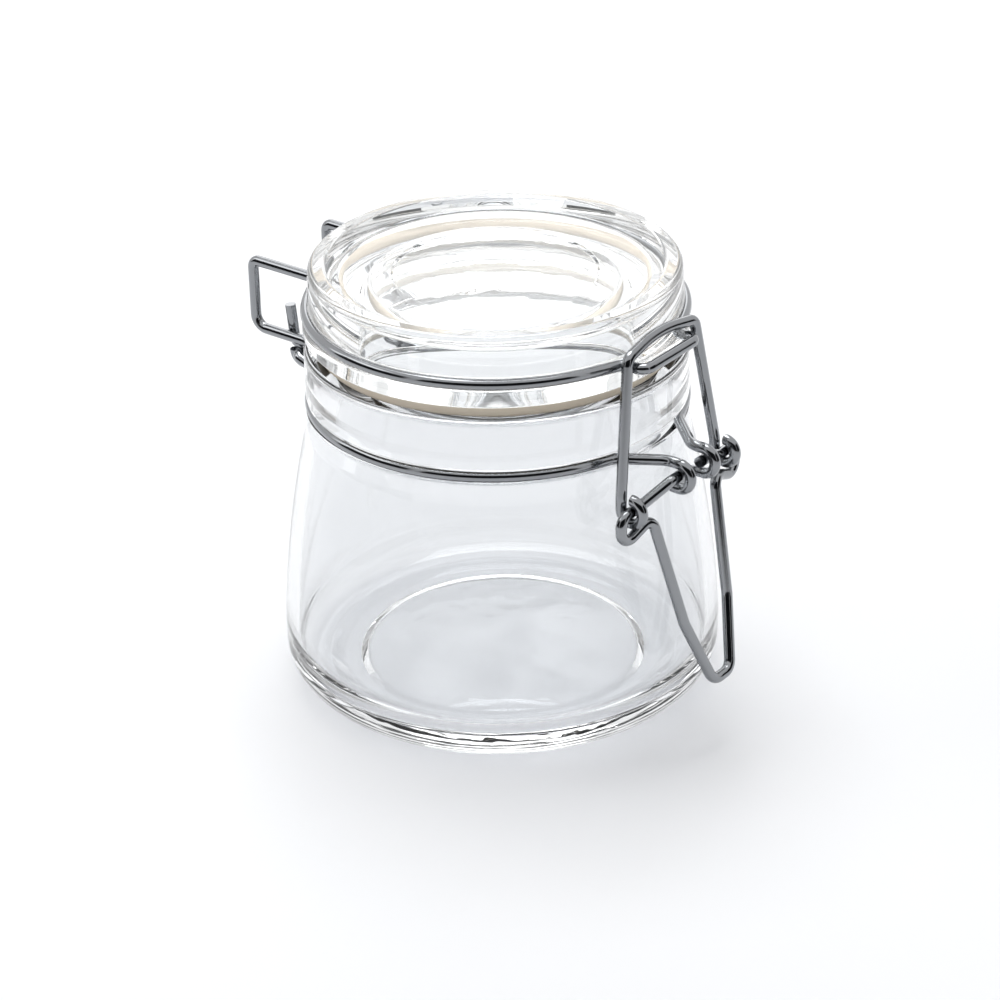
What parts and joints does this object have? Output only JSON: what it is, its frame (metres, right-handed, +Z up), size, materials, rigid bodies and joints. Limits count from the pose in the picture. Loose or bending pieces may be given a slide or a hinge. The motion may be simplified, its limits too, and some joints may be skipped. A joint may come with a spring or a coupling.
{
  "type": "clip-top glass jar",
  "caption": "Wide-mouthed glass storage jar with a hinged glass lid, rubber sealing ring and an over-centre wire clip worked by a looped lever.",
  "frame": {"origin": "on the jar's axis, at the plane of its standing ring", "axes": "+Z up along the jar's axis, -Y towards the latch, +Y towards the hinge, X along the hinge's axle"},
  "size_m": [0.1084, 0.1339, 0.1092],
  "materials": {
    "jar_glass": "pressed, clear",
    "lid_glass": "pressed, clear",
    "seal_rubber": "matt, moulded",
    "steel_wire": "bright drawn wire"
  },
  "bodies": {
    "jar": {"jar_body": "jar_glass", "neck_wire": "steel_wire"},
    "lid_assembly": {"lid": "lid_glass", "gasket": "seal_rubber", "lid_wire": "steel_wire"},
    "lever": {"lever": "steel_wire"},
    "bail": {"bail": "steel_wire"}
  },
  "joints": [
    {"name": "lid_hinge", "type": "hinge", "parent": "jar", "child": "lid_assembly", "pos_m": [0, 0.0495, 0.077], "axis": [-1, 0, 0], "range_deg": [0, 105]},
    {"name": "lever_pivot", "type": "hinge", "parent": "jar", "child": "lever", "pos_m": [0, -0.057, 0.0705], "axis": [-1, 0, 0], "range_deg": [0, 100]},
    {"name": "bail_pivot", "type": "hinge", "parent": "lever", "child": "bail", "pos_m": [0, -0.0535, 0.066], "axis": [-1, 0, 0], "range_deg": [-160, 0]}
  ],
  "couplings": [
    {"joint": "bail_pivot", "follows": "lever_pivot", "ratio": -1.6}
  ]
}
